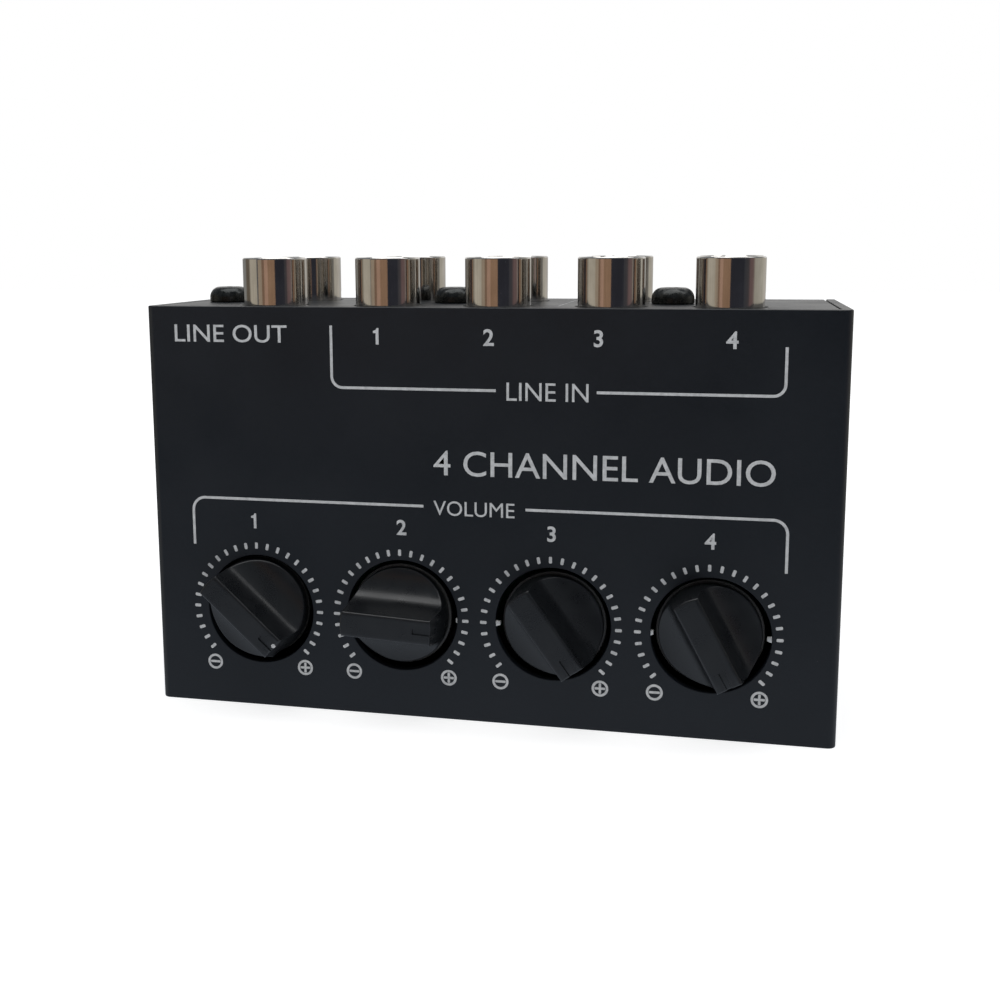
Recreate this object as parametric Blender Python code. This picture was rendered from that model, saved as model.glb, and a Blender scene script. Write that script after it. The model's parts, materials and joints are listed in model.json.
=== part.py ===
"""Small passive four-channel stereo mixing console with phono sockets.

A folded steel box stands upright on its narrow bottom face.  Four level knobs sit in clearance holes
of the front panel, ten phono sockets stand up from the top face: one pair of outputs at the left and
four pairs of inputs.  One circuit board behind the knobs carries the pots and the socket blocks.

Lengths below are millimetres and are turned into metres when a mesh is made.
X runs to the right of the front panel, Y runs from the front to the back, Z runs up to the sockets.
The origin is the centre of the bottom of the bounding box.
"""
from math import cos, pi, radians, sin

import bmesh
import bpy
from mathutils import Matrix, Vector

MM = 0.001
GAP = 0.3                # clearance kept wherever two pieces touch

# Case
CASE_W = 88.6
CASE_H = 53.3
CASE_D = 29.0
SHEET = 1.2
BEND_R = 1.1             # outside radius of the vertical bends beside the front panel
FLANGE_D = 9.0           # depth of the two side flanges of the rear shell
KNOB_RISE = 5.5          # bar top in front of the panel
FRONT_Y = -(CASE_D + KNOB_RISE) / 2 + KNOB_RISE
BACK_Y = FRONT_Y + CASE_D
INNER_X = CASE_W / 2 - SHEET - GAP

# Knobs and pots; the pots are soldered one by one, so each axis sits a little off its hole
KNOB_Z = 13.45
HOLE_X = (-29.60, -10.17, 9.46, 28.99)
HOLE_Z = (13.33, 13.61, 13.61, 13.38)
KNOB_X = (-29.95, -10.55, 9.48, 28.90)
KNOB_REST = (133.0, 93.0, 144.0, 152.0)   # pointer angle, clockwise from straight up
HOLE_R = 7.3
KNOB_R = 6.65            # flange
KNOB_TOP_R = 6.35
FLANGE_FALL = 1.4        # how far the flange lies behind the panel face
KNOB_SUNK = 6.3          # how far the knob reaches behind the panel face
BAR_HALF = 1.62
POINTER_END = 5.45       # where the sloping pointer end of the bar starts, at its top
POINTER_SLOPE = 0.16     # how far that end runs out for each millimetre it drops
BORE_R = 3.3
SHAFT_R = 3.0
POT_W = 11.0
POT_H = 12.5
POT_FRONT = 13.5         # front of the pot body, behind the panel face
BUSHING_R = 4.6
BUSHING_FRONT = 8.5

# Phono sockets
JACK_PITCH = 14.5
ROW_PITCH = 14.3
ROW_MID = FRONT_Y + 13.05
BLOCK_X = {"out": -28.5, "in_12": -5.85, "in_34": 22.98}
BARREL_R = 4.18
BARREL_BORE = 3.68
BARREL_RISE = 6.1
BARREL_SUNK = 4.5
SOCKET_R = 4.5           # hole in the top plate and seat in the block
INSULATOR_R = 3.36
INSULATOR_BORE = 2.26
CONTACT_R = 1.94
CONTACT_BORE = 1.6
BLOCK_H = 12.0
BLOCK_Y0 = FRONT_Y + 1.7
BLOCK_Y1 = FRONT_Y + 24.5

# Circuit board
BOARD_T = 1.6
BOARD_X = 40.0
BOARD_Z0 = 4.0
BOARD_Z1 = 50.0

# M3 pan head screws through the top plate
HEAD_R = 2.8
HEAD_H = 2.2
SHANK_R = 1.5
SCREW_HOLE_R = 1.8
OUT_SCREW_X = -38.0

# M2.5 countersunk screws through the side walls
CSK_R = 2.35
CSK_SEAT_R = 2.8
CSK_SHANK_R = 1.2
CSK_HOLE_R = 1.6
CASE_SCREW_Z = (10.0, 36.0)
CASE_SCREW_Y = BACK_Y - 5.0

# Turns the local +Z of a turned profile towards the front, the left or the right
TO_FRONT = Matrix.Rotation(radians(90), 4, "X")
TO_LEFT = Matrix.Rotation(radians(-90), 4, "Y")
TO_RIGHT = Matrix.Rotation(radians(90), 4, "Y")
# Turns a prism with an outline of (along, out) so that it runs across a knob
ACROSS_KNOB = Matrix(((0, 0, 1, 0), (0, -1, 0, 0), (1, 0, 0, 0), (0, 0, 0, 1)))


def clear_scene():
    for obj in list(bpy.data.objects):
        bpy.data.objects.remove(obj, do_unlink=True)


def collection(name):
    made = bpy.data.collections.new(name)
    bpy.context.scene.collection.children.link(made)
    return made


def material(name, colour, roughness, metallic):
    mat = bpy.data.materials.new(name)
    mat.use_nodes = True
    shader = mat.node_tree.nodes["Principled BSDF"]
    shader.inputs["Base Color"].default_value = (*colour, 1.0)
    shader.inputs["Roughness"].default_value = roughness
    shader.inputs["Metallic"].default_value = metallic
    return mat


# ---------------------------------------------------------------- mesh builders (millimetres)

def add_box(bm, low, high):
    size = [b - a for a, b in zip(low, high)]
    centre = [(a + b) / 2 for a, b in zip(low, high)]
    matrix = Matrix.Translation(centre) @ Matrix.Diagonal((*size, 1.0))
    bmesh.ops.create_cube(bm, size=1.0, matrix=matrix)


def add_turned(bm, profile, steps, matrix=None):
    """Revolve a (radius, height) outline about Z: a solid if it starts on the axis, else a ring."""
    solid = profile[0][0] == 0
    rings = []
    for radius, height in profile:
        if radius > 0:
            angles = [2 * pi * step / steps for step in range(steps)]
            rings.append([bm.verts.new((radius * cos(a), radius * sin(a), height)) for a in angles])
    pairs = list(zip(rings, rings[1:]))
    if solid:
        bm.faces.new(rings[0][::-1])
        bm.faces.new(rings[-1])
    else:
        pairs.append((rings[-1], rings[0]))
    for lower, upper in pairs:
        for i in range(steps):
            j = (i + 1) % steps
            bm.faces.new((lower[i], lower[j], upper[j], upper[i]))
    if matrix is not None:
        bmesh.ops.transform(bm, matrix=matrix, verts=[v for ring in rings for v in ring])


def add_cylinder(bm, radius, low, high, steps, matrix=None):
    add_turned(bm, [(0, low), (radius, low), (radius, high), (0, high)], steps, matrix)


def add_prism(bm, outline, low, high):
    """Extrude a closed (x, y) outline along Z."""
    bottom = [bm.verts.new((x, y, low)) for x, y in outline]
    top = [bm.verts.new((x, y, high)) for x, y in outline]
    bm.faces.new(bottom[::-1])
    bm.faces.new(top)
    for i in range(len(outline)):
        j = (i + 1) % len(outline)
        bm.faces.new((bottom[i], bottom[j], top[j], top[i]))


def make_object(name, bm, mat, place, location=(0, 0, 0), rotation=(0, 0, 0), smooth=30):
    bmesh.ops.recalc_face_normals(bm, faces=bm.faces)
    bmesh.ops.scale(bm, vec=(MM, MM, MM), verts=bm.verts)
    mesh = bpy.data.meshes.new(name)
    bm.to_mesh(mesh)
    bm.free()
    mesh.shade_smooth()
    mesh.set_sharp_from_angle(angle=radians(smooth))
    obj = bpy.data.objects.new(name, mesh)
    if mat is not None:
        mesh.materials.append(mat)
    obj.location = Vector(location) * MM
    obj.rotation_euler = rotation
    place.objects.link(obj)
    return obj


def cut(target, bm, tools):
    """Remove the bodies in bm, given in the target's own frame, from the target."""
    cutter = make_object(target.name + "_cutter", bm, None, tools)
    cutter.location = target.location
    cutter.rotation_euler = target.rotation_euler
    cutter.hide_render = True
    cutter.display_type = "WIRE"
    modifier = target.modifiers.new("cut", "BOOLEAN")
    modifier.operation = "DIFFERENCE"
    modifier.solver = "EXACT"
    modifier.object = cutter


# ---------------------------------------------------------------- shared positions

def block_columns(block):
    x = BLOCK_X[block]
    return (x,) if block == "out" else (x - JACK_PITCH / 2, x + JACK_PITCH / 2)


def block_screw_x(block):
    return OUT_SCREW_X if block == "out" else BLOCK_X[block]


def jack_places():
    """Every socket as (name, x, y)."""
    names = {"out": ("out",), "in_12": ("in1", "in2"), "in_34": ("in3", "in4")}
    places = []
    for block, columns in names.items():
        for name, x in zip(columns, block_columns(block)):
            places.append((name + "_front", x, ROW_MID - ROW_PITCH / 2))
            places.append((name + "_rear", x, ROW_MID + ROW_PITCH / 2))
    return places


# ---------------------------------------------------------------- case

def channel_outline():
    """Plan of the front panel and its two side walls, with rounded bends."""
    half, inner = CASE_W / 2, CASE_W / 2 - SHEET
    outer_left = [(-half + BEND_R * (1 - cos(a)), FRONT_Y + BEND_R * (1 - sin(a)))
                  for a in [radians(t) for t in (0, 22.5, 45, 67.5, 90)]]
    outer_right = [(-x, y) for x, y in reversed(outer_left)]
    front_inside = FRONT_Y + SHEET
    return ([(-half, BACK_Y)] + outer_left + outer_right + [(half, BACK_Y), (inner, BACK_Y)]
            + [(inner, front_inside), (-inner, front_inside), (-inner, BACK_Y)])


def side_screw_holes(bm, profile):
    for z in CASE_SCREW_Z:
        for turn, x in ((TO_LEFT, -CASE_W / 2), (TO_RIGHT, CASE_W / 2)):
            add_turned(bm, profile, 24, Matrix.Translation((x, CASE_SCREW_Y, z)) @ turn)


def make_front_shell(mat, parts, tools):
    bm = bmesh.new()
    add_prism(bm, channel_outline(), 0, CASE_H)
    shell = make_object("front_shell", bm, mat, parts)
    holes = bmesh.new()
    for x, z in zip(HOLE_X, HOLE_Z):
        place = Matrix.Translation((x, FRONT_Y, z)) @ TO_FRONT
        add_cylinder(holes, HOLE_R, -4, 2, 64, place)
    seat = [(0, -2), (CSK_HOLE_R, -2), (CSK_HOLE_R, CSK_HOLE_R - CSK_SEAT_R), (CSK_SEAT_R, 0),
            (CSK_SEAT_R, 2)]
    side_screw_holes(holes, seat)
    cut(shell, holes, tools)


def make_rear_shell(mat, parts, tools):
    """Top plate, back and bottom folded from one sheet, with side flanges at the back."""
    front = FRONT_Y + SHEET + GAP
    bm = bmesh.new()
    add_box(bm, (-INNER_X, front, 0), (INNER_X, BACK_Y, CASE_H))
    shell = make_object("rear_shell", bm, mat, parts)
    inside = bmesh.new()
    wide, narrow = INNER_X + 5, INNER_X - SHEET
    flange_y = BACK_Y - FLANGE_D
    outline = [(-wide, front - 5), (wide, front - 5), (wide, flange_y), (narrow, flange_y),
               (narrow, BACK_Y - SHEET), (-narrow, BACK_Y - SHEET), (-narrow, flange_y),
               (-wide, flange_y)]
    add_prism(inside, outline, SHEET, CASE_H - SHEET)
    cut(shell, inside, tools)
    holes = bmesh.new()
    for _, x, y in jack_places():
        add_cylinder(holes, SOCKET_R, CASE_H - 3, CASE_H + 3, 36, Matrix.Translation((x, y, 0)))
    for block in BLOCK_X:
        place = Matrix.Translation((block_screw_x(block), ROW_MID, 0))
        add_cylinder(holes, SCREW_HOLE_R, CASE_H - 3, CASE_H + 3, 24, place)
    side_screw_holes(holes, [(0, -5), (CSK_HOLE_R, -5), (CSK_HOLE_R, 2)])
    cut(shell, holes, tools)


def make_jack_screw(block, mat, parts):
    """Pan head screw with a cone-bottomed recess; its head stands on the top plate."""
    top = GAP + HEAD_H
    profile = [(0, -7.0), (SHANK_R, -7.0), (SHANK_R, GAP), (HEAD_R, GAP), (HEAD_R, top - 1.0),
               (HEAD_R - 0.7, top - 0.2), (HEAD_R - 1.5, top), (0.9, top), (0.35, top - 1.1)]
    bm = bmesh.new()
    add_turned(bm, profile, 24)
    make_object("jack_screw_" + block, bm, mat, parts, (block_screw_x(block), ROW_MID, CASE_H))


def make_case_screw(side, level, mat, parts):
    """Countersunk screw, flush with the side wall."""
    neck = CSK_SHANK_R - CSK_R
    profile = [(0, -3.2), (CSK_SHANK_R, -3.2), (CSK_SHANK_R, neck), (CSK_R, 0), (0.8, 0),
               (0.3, -0.8)]
    bm = bmesh.new()
    add_turned(bm, profile, 24, TO_LEFT if side == "left" else TO_RIGHT)
    x = -CASE_W / 2 if side == "left" else CASE_W / 2
    z = CASE_SCREW_Z[("lower", "upper").index(level)]
    make_object(f"case_screw_{side}_{level}", bm, mat, parts, (x, CASE_SCREW_Y, z))


def make_screws(mat, parts):
    for block in BLOCK_X:
        make_jack_screw(block, mat, parts)
    for side in ("left", "right"):
        for level in ("lower", "upper"):
            make_case_screw(side, level, mat, parts)


# ---------------------------------------------------------------- phono sockets

def make_block(block, mat, parts, tools):
    """Moulded block under the top plate that holds one group of sockets."""
    top = CASE_H - SHEET - GAP
    columns = block_columns(block)
    low_x = OUT_SCREW_X - 3.2 if block == "out" else columns[0] - 6.6
    bm = bmesh.new()
    add_box(bm, (low_x, BLOCK_Y0, top - BLOCK_H), (columns[-1] + 6.6, BLOCK_Y1, top))
    body = make_object("block_" + block, bm, mat, parts)
    seats = bmesh.new()
    floor = CASE_H - BARREL_SUNK - GAP
    for x in columns:
        for side in (-1, 1):
            place = Matrix.Translation((x, ROW_MID + side * ROW_PITCH / 2, 0))
            add_cylinder(seats, SOCKET_R, floor, top + 2, 28, place)
    screw_place = Matrix.Translation((block_screw_x(block), ROW_MID, 0))
    add_cylinder(seats, SCREW_HOLE_R, CASE_H - 7.6, top + 2, 20, screw_place)
    cut(body, seats, tools)


def make_barrel(name, mat, parts, location):
    low, high = -BARREL_SUNK, BARREL_RISE
    profile = [(BARREL_BORE, low), (BARREL_R, low), (BARREL_R, high - 0.12),
               (BARREL_R - 0.12, high), (BARREL_BORE, high)]
    bm = bmesh.new()
    add_turned(bm, profile, 40)
    make_object("barrel_" + name, bm, mat, parts, location)


def make_insulator(name, mat, parts, location):
    low, high = -BARREL_SUNK, BARREL_RISE - 0.9
    profile = [(INSULATOR_BORE, low), (INSULATOR_R, low), (INSULATOR_R, high),
               (INSULATOR_BORE, high)]
    bm = bmesh.new()
    add_turned(bm, profile, 28)
    make_object("insulator_" + name, bm, mat, parts, location)


def make_contact(name, mat, parts, location):
    low, high = -BARREL_SUNK, BARREL_RISE - 1.5
    profile = [(CONTACT_BORE, low), (CONTACT_R, low), (CONTACT_R, high), (CONTACT_BORE, high)]
    bm = bmesh.new()
    add_turned(bm, profile, 20)
    make_object("contact_" + name, bm, mat, parts, location)


def make_sockets(nickel, white, red, brass, parts):
    for name, x, y in jack_places():
        location = (x, y, CASE_H)
        make_barrel(name, nickel, parts, location)
        make_insulator(name, white if name.endswith("front") else red, parts, location)
        make_contact(name, brass, parts, location)


# ---------------------------------------------------------------- knobs and pots

def scoop_outline(side):
    """Section of one concave scoop beside the finger bar, as (across, out) pairs."""
    sweep = [(BAR_HALF, KNOB_RISE), (1.72, 4.17), (1.87, 3.06), (2.07, 2.15), (2.32, 1.49), (2.62, 1.03),
             (3.12, 0.55), (3.92, 0.03), (4.82, -0.36), (6.1, -0.6), (KNOB_R + 2, -0.6)]
    outline = [(BAR_HALF, KNOB_RISE + 2)] + sweep + [(KNOB_R + 2, KNOB_RISE + 2)]
    return [(side * across, out) for across, out in outline]


def make_knob(number, mat, parts, tools):
    """Round knob with a finger bar left between two scoops; local +Z is the pointer direction."""
    profile = [(0, -KNOB_SUNK), (KNOB_R, -KNOB_SUNK), (KNOB_R, -FLANGE_FALL - 0.08),
               (KNOB_R - 0.08, -FLANGE_FALL), (KNOB_TOP_R, -FLANGE_FALL), (KNOB_TOP_R, KNOB_RISE - 0.25),
               (KNOB_TOP_R - 0.25, KNOB_RISE), (0, KNOB_RISE)]
    bm = bmesh.new()
    add_turned(bm, profile, 60, TO_FRONT)
    location = (KNOB_X[number - 1], FRONT_Y, KNOB_Z)
    turn = (0, radians(KNOB_REST[number - 1]), 0)
    knob = make_object(f"knob_{number}", bm, mat, parts, location, turn)
    scoops = bmesh.new()
    for side in (-1, 1):
        outline = [(across, -out) for across, out in scoop_outline(side)]
        add_prism(scoops, outline, -KNOB_R - 2, KNOB_R + 2)
    cut(knob, scoops, tools)
    details = bmesh.new()
    add_cylinder(details, BORE_R, -KNOB_SUNK - 2, -0.4, 24, TO_FRONT)
    add_box(details, (-0.35, -KNOB_RISE - 1, 3.2), (0.35, -KNOB_RISE + 0.2, KNOB_R + 1))
    cut(knob, details, tools)
    end = bmesh.new()
    low, high = 0.3, KNOB_RISE + 2
    slope = [(KNOB_R + 2, low), (KNOB_R + 2, high), (POINTER_END + (KNOB_RISE - high) * POINTER_SLOPE, high),
             (POINTER_END + (KNOB_RISE - low) * POINTER_SLOPE, low)]
    add_prism(end, slope, -KNOB_R, KNOB_R)
    bmesh.ops.transform(end, matrix=ACROSS_KNOB, verts=end.verts)
    cut(knob, end, tools)


def make_shaft(number, mat, parts):
    """Round shaft from inside the knob down into the pot; local Z points to the front."""
    tip, end = -0.7, -20.5
    profile = [(0, end), (SHAFT_R, end), (SHAFT_R, tip - 0.4), (SHAFT_R - 0.4, tip), (0, tip)]
    bm = bmesh.new()
    add_turned(bm, profile, 24, TO_FRONT)
    location = (KNOB_X[number - 1], FRONT_Y, KNOB_Z)
    make_object(f"shaft_{number}", bm, mat, parts, location)


def make_pot(number, mat, parts, tools):
    """Two-gang pot: square metal body and a round bushing that guides the shaft."""
    back = BLOCK_Y1 - FRONT_Y
    bm = bmesh.new()
    add_box(bm, (-POT_W / 2, POT_FRONT, -POT_H / 2 - 1.5), (POT_W / 2, back, POT_H / 2 - 1.5))
    location = (KNOB_X[number - 1], FRONT_Y, KNOB_Z)
    pot = make_object(f"pot_{number}", bm, mat, parts, location)
    bushing = bmesh.new()
    add_cylinder(bushing, BUSHING_R, -POT_FRONT - 1, -BUSHING_FRONT, 28, TO_FRONT)
    join(pot, bushing, tools)
    bore = bmesh.new()
    add_cylinder(bore, BORE_R, -20.8, -BUSHING_FRONT + 2, 24, TO_FRONT)
    cut(pot, bore, tools)


def join(target, bm, tools):
    cut(target, bm, tools)
    target.modifiers[-1].operation = "UNION"


def make_board(mat, parts):
    front = BLOCK_Y1 + GAP
    bm = bmesh.new()
    add_box(bm, (-BOARD_X, front, BOARD_Z0), (BOARD_X, front + BOARD_T, BOARD_Z1))
    make_object("circuit_board", bm, mat, parts)


def main():
    clear_scene()
    parts = collection("mixing_console")
    tools = collection("cutters")
    tools.hide_render = True
    paint = material("satin_black_paint", (0.020, 0.022, 0.025), 0.45, 0.0)
    rear_paint = material("satin_black_paint_rear", (0.022, 0.024, 0.027), 0.45, 0.0)
    black_steel = material("blackened_steel", (0.03, 0.03, 0.032), 0.4, 0.8)
    nickel = material("nickel_plate", (0.66, 0.64, 0.61), 0.15, 1.0)
    knob_plastic = material("black_knob_plastic", (0.018, 0.018, 0.02), 0.35, 0.0)
    block_plastic = material("black_block_plastic", (0.03, 0.03, 0.03), 0.6, 0.0)
    white = material("white_insulator", (0.75, 0.74, 0.70), 0.5, 0.0)
    red = material("red_insulator", (0.55, 0.03, 0.02), 0.5, 0.0)
    tin = material("tinned_contact", (0.70, 0.68, 0.62), 0.3, 1.0)
    shaft_metal = material("aluminium_shaft", (0.6, 0.6, 0.6), 0.35, 1.0)
    pot_metal = material("zinc_pot_cover", (0.5, 0.5, 0.48), 0.4, 1.0)
    laminate = material("green_laminate", (0.02, 0.16, 0.07), 0.5, 0.0)
    make_front_shell(paint, parts, tools)
    make_rear_shell(rear_paint, parts, tools)
    make_screws(black_steel, parts)
    for block in BLOCK_X:
        make_block(block, block_plastic, parts, tools)
    make_sockets(nickel, white, red, tin, parts)
    for number in (1, 2, 3, 4):
        make_knob(number, knob_plastic, parts, tools)
        make_shaft(number, shaft_metal, parts)
        make_pot(number, pot_metal, parts, tools)
    make_board(laminate, parts)


main()
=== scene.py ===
"""Looks of the small four-channel mixing console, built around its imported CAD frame.

Lengths are millimetres and are turned into metres when a mesh is made.  X runs to the right of the front
panel, Y from the front to the back, Z up to the phono sockets.  Places come from the frame's boxes and
joints; the print is laid out from the panel's bottom edge and a line just inside its left edge.
"""

import json
from math import asin, cos, degrees, exp, pi, radians, sin, sqrt, tau

import bmesh
import bpy
from mathutils import Euler, Matrix, Vector


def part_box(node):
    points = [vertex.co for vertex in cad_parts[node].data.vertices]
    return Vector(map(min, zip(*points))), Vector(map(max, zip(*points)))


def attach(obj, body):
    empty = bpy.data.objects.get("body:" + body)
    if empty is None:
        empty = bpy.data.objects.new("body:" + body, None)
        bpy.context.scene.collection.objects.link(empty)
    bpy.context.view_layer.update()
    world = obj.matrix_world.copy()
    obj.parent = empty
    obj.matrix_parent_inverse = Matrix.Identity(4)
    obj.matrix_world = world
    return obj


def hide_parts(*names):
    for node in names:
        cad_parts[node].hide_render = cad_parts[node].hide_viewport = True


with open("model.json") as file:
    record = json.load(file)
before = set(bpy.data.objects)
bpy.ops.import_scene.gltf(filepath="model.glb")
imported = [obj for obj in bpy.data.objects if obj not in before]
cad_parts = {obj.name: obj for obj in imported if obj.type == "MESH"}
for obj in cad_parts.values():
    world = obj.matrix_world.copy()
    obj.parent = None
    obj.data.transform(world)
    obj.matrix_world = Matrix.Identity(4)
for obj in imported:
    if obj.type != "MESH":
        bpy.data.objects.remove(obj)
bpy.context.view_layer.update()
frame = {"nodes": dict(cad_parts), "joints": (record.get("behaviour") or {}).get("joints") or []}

MM = 0.001


def box_mm(node):
    low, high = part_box(node)
    return low / MM, high / MM


# ---------------------------------------------------------------- sizes taken from the frame

case_low, case_high = box_mm("front_shell")
PANEL_Y = case_low.y
PRINT_LEFT = case_low.x + 0.3
TOP_Z = case_high.z
plate_low, plate_high = box_mm("rear_shell")
JOINTS = {joint["child"]: joint for joint in frame["joints"]}
JACKS = [name[len("barrel_"):] for name in sorted(frame["nodes"]) if name.startswith("barrel_")]

# Case
SHEET = 1.2
BEND_R = 1.1
BEND_STEPS = 8
FLANGE_D = 9.0
HOLE_X = (-29.60, -10.17, 9.46, 28.99)
HOLE_Z = (13.33, 13.61, 13.61, 13.38)
HOLE_R = 7.3
NIB_Z = 13.45
SOCKET_R = 4.5
SCREW_HOLE_R = 1.8
EDGE = 0.14
PAN_DROP = 0.4            # the pan heads sit this much lower than in the CAD, and rest on the plate
CSK_R = 2.35
CSK_SEAT_R = 2.8
CSK_HOLE_R = 1.6
CSK_SHANK_R = 1.2

# Knobs
KNOB_R = 6.65
KNOB_RISE = 5.5
KNOB_SUNK = 6.3
FLANGE_FALL = 1.4         # how far the flange lies behind the panel face
BORE_R = 3.3
BORE_TOP = -0.4
BAR_HALF = 1.62
BAR_ROUND = 0.26
RIM_ROUND = 0.25
POINTER_END = 5.45        # where the sloping pointer end of the bar starts, at its top
POINTER_SLOPE = 0.16      # how far that end runs out for each millimetre it drops
BAR_FOOT = 0.3            # distance over which the foot of the bar's wall falls by a factor e
SCOOP_TILT = 0.05         # slope of the scoop at the rim
SCOOP_CURVE = 0.11        # how the scoop rises with the square of the distance from the rim
RIM_1 = (6.6, 0.0)        # radius and level of the rim of the first knob, which sits further out
RIM = (6.35, -0.6)        # the same of the other three
GROOVE_HALF = 0.35
GROOVE_DEPTH = 0.2
GROOVE_START = 0.6        # as a share of the bar's half length
STOP_ANGLE = 152.0

# Print, across from PRINT_LEFT and up from the bottom edge
PRINT_RISE = 0.02
PRINT_SUNK = 0.01
LINE_W = 0.35
RING_X = 14.09
RING_PITCH = 19.527
RING_Z = 13.33
TICK_R = 8.59
TICK_L = 0.85
TICK_W = 0.40
TICK_STEP = 10
TICK_STOP = 130
SIGN_X = 6.37
SIGN_Z = 5.63
SIGN_R = 1.05
SIGN_LINE = 0.31

# Camera: its place, and its turn about X, Y and Z in degrees
CAMERA_AT = Vector((30.575, -158.914, 60.677))
CAMERA_TURN = (81.2926, 0.2815, 12.2916)


# ---------------------------------------------------------------- mesh builders (millimetres)

def add_turned(bm, profile, steps, matrix=Matrix.Identity(4), start=0.0, sweep=tau):
    """Revolve a (radius, height) outline about Z.  It is a solid if it starts on the axis, else a ring."""
    whole = abs(sweep - tau) < 1e-6
    solid = profile[0][0] == 0
    angles = [start + sweep * i / steps for i in range(steps if whole else steps + 1)]
    rings = []
    for radius, height in profile:
        if radius > 0:
            rings.append([bm.verts.new(matrix @ Vector((radius * cos(a), radius * sin(a), height)))
                          for a in angles])
    pairs = list(zip(rings, rings[1:]))
    if solid:
        bm.faces.new(rings[0][::-1])
        bm.faces.new(rings[-1])
    else:
        pairs.append((rings[-1], rings[0]))
    for lower, upper in pairs:
        for i in range(steps):
            j = (i + 1) % len(angles)
            bm.faces.new((lower[i], lower[j], upper[j], upper[i]))
    if not whole:
        bm.faces.new([ring[0] for ring in rings])
        bm.faces.new([ring[-1] for ring in rings][::-1])


def add_loft(bm, outline_a, outline_b):
    """Closed solid between two outlines of 3-D points with the same number of points."""
    a = [bm.verts.new(p) for p in outline_a]
    b = [bm.verts.new(p) for p in outline_b]
    bm.faces.new(a[::-1])
    bm.faces.new(b)
    for i in range(len(a)):
        j = (i + 1) % len(a)
        bm.faces.new((a[i], a[j], b[j], b[i]))


def add_box(bm, low, high):
    corners = [(low[0], low[1]), (high[0], low[1]), (high[0], high[1]), (low[0], high[1])]
    add_loft(bm, [(x, y, low[2]) for x, y in corners], [(x, y, high[2]) for x, y in corners])


def arc(centre, radius, first, last, steps):
    """Points on an arc, with angles in degrees from the first axis towards the second."""
    angles = [radians(first + (last - first) * i / steps) for i in range(steps + 1)]
    return [(centre[0] + radius * cos(a), centre[1] + radius * sin(a)) for a in angles]


def temporary(name, bm):
    """Object in metres from a bmesh in millimetres."""
    bmesh.ops.recalc_face_normals(bm, faces=bm.faces)
    bmesh.ops.scale(bm, vec=(MM, MM, MM), verts=bm.verts)
    mesh = bpy.data.meshes.new(name)
    bm.to_mesh(mesh)
    bm.free()
    obj = bpy.data.objects.new(name, mesh)
    bpy.context.scene.collection.objects.link(obj)
    return obj


def evaluated_mesh(obj):
    bpy.context.view_layer.update()
    depsgraph = bpy.context.evaluated_depsgraph_get()
    return bpy.data.meshes.new_from_object(obj.evaluated_get(depsgraph))


def build_mesh(name, bm, cutters=(), edge=0.0, smooth=25):
    """Mesh in metres, with the cutters removed, its edges rounded by edge and faces smoothed by angle."""
    body = temporary("tmp_" + name, bm)
    tools = [temporary("tmp_cutter", cutter) for cutter in cutters]
    for tool in tools:
        cut = body.modifiers.new("cut", "BOOLEAN")
        cut.operation = "DIFFERENCE"
        cut.solver = "EXACT"
        cut.object = tool
    if edge:
        bevel = body.modifiers.new("edge", "BEVEL")
        bevel.width = edge * MM
        bevel.segments = 3
        bevel.limit_method = "ANGLE"
        bevel.angle_limit = radians(32)
        bevel.use_clamp_overlap = False
    cut_mesh = evaluated_mesh(body)
    cut_mesh.shade_smooth()
    cut_mesh.set_sharp_from_angle(angle=radians(smooth))
    body.modifiers.clear()
    body.data = cut_mesh
    flat = body.modifiers.new("flat", "WEIGHTED_NORMAL")
    flat.weight = 90
    flat.keep_sharp = True
    mesh = evaluated_mesh(body)
    mesh.name = name
    for obj in [body] + tools:
        bpy.data.objects.remove(obj)
    bpy.data.meshes.remove(cut_mesh)
    return mesh


def piece(name, mesh, material, body, stands_for=()):
    obj = bpy.data.objects.new(name, mesh)
    bpy.context.scene.collection.objects.link(obj)
    mesh.materials.clear()
    mesh.materials.append(material)
    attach(obj, body)
    if stands_for:
        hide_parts(*stands_for)
    return obj


# ---------------------------------------------------------------- material helpers

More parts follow.
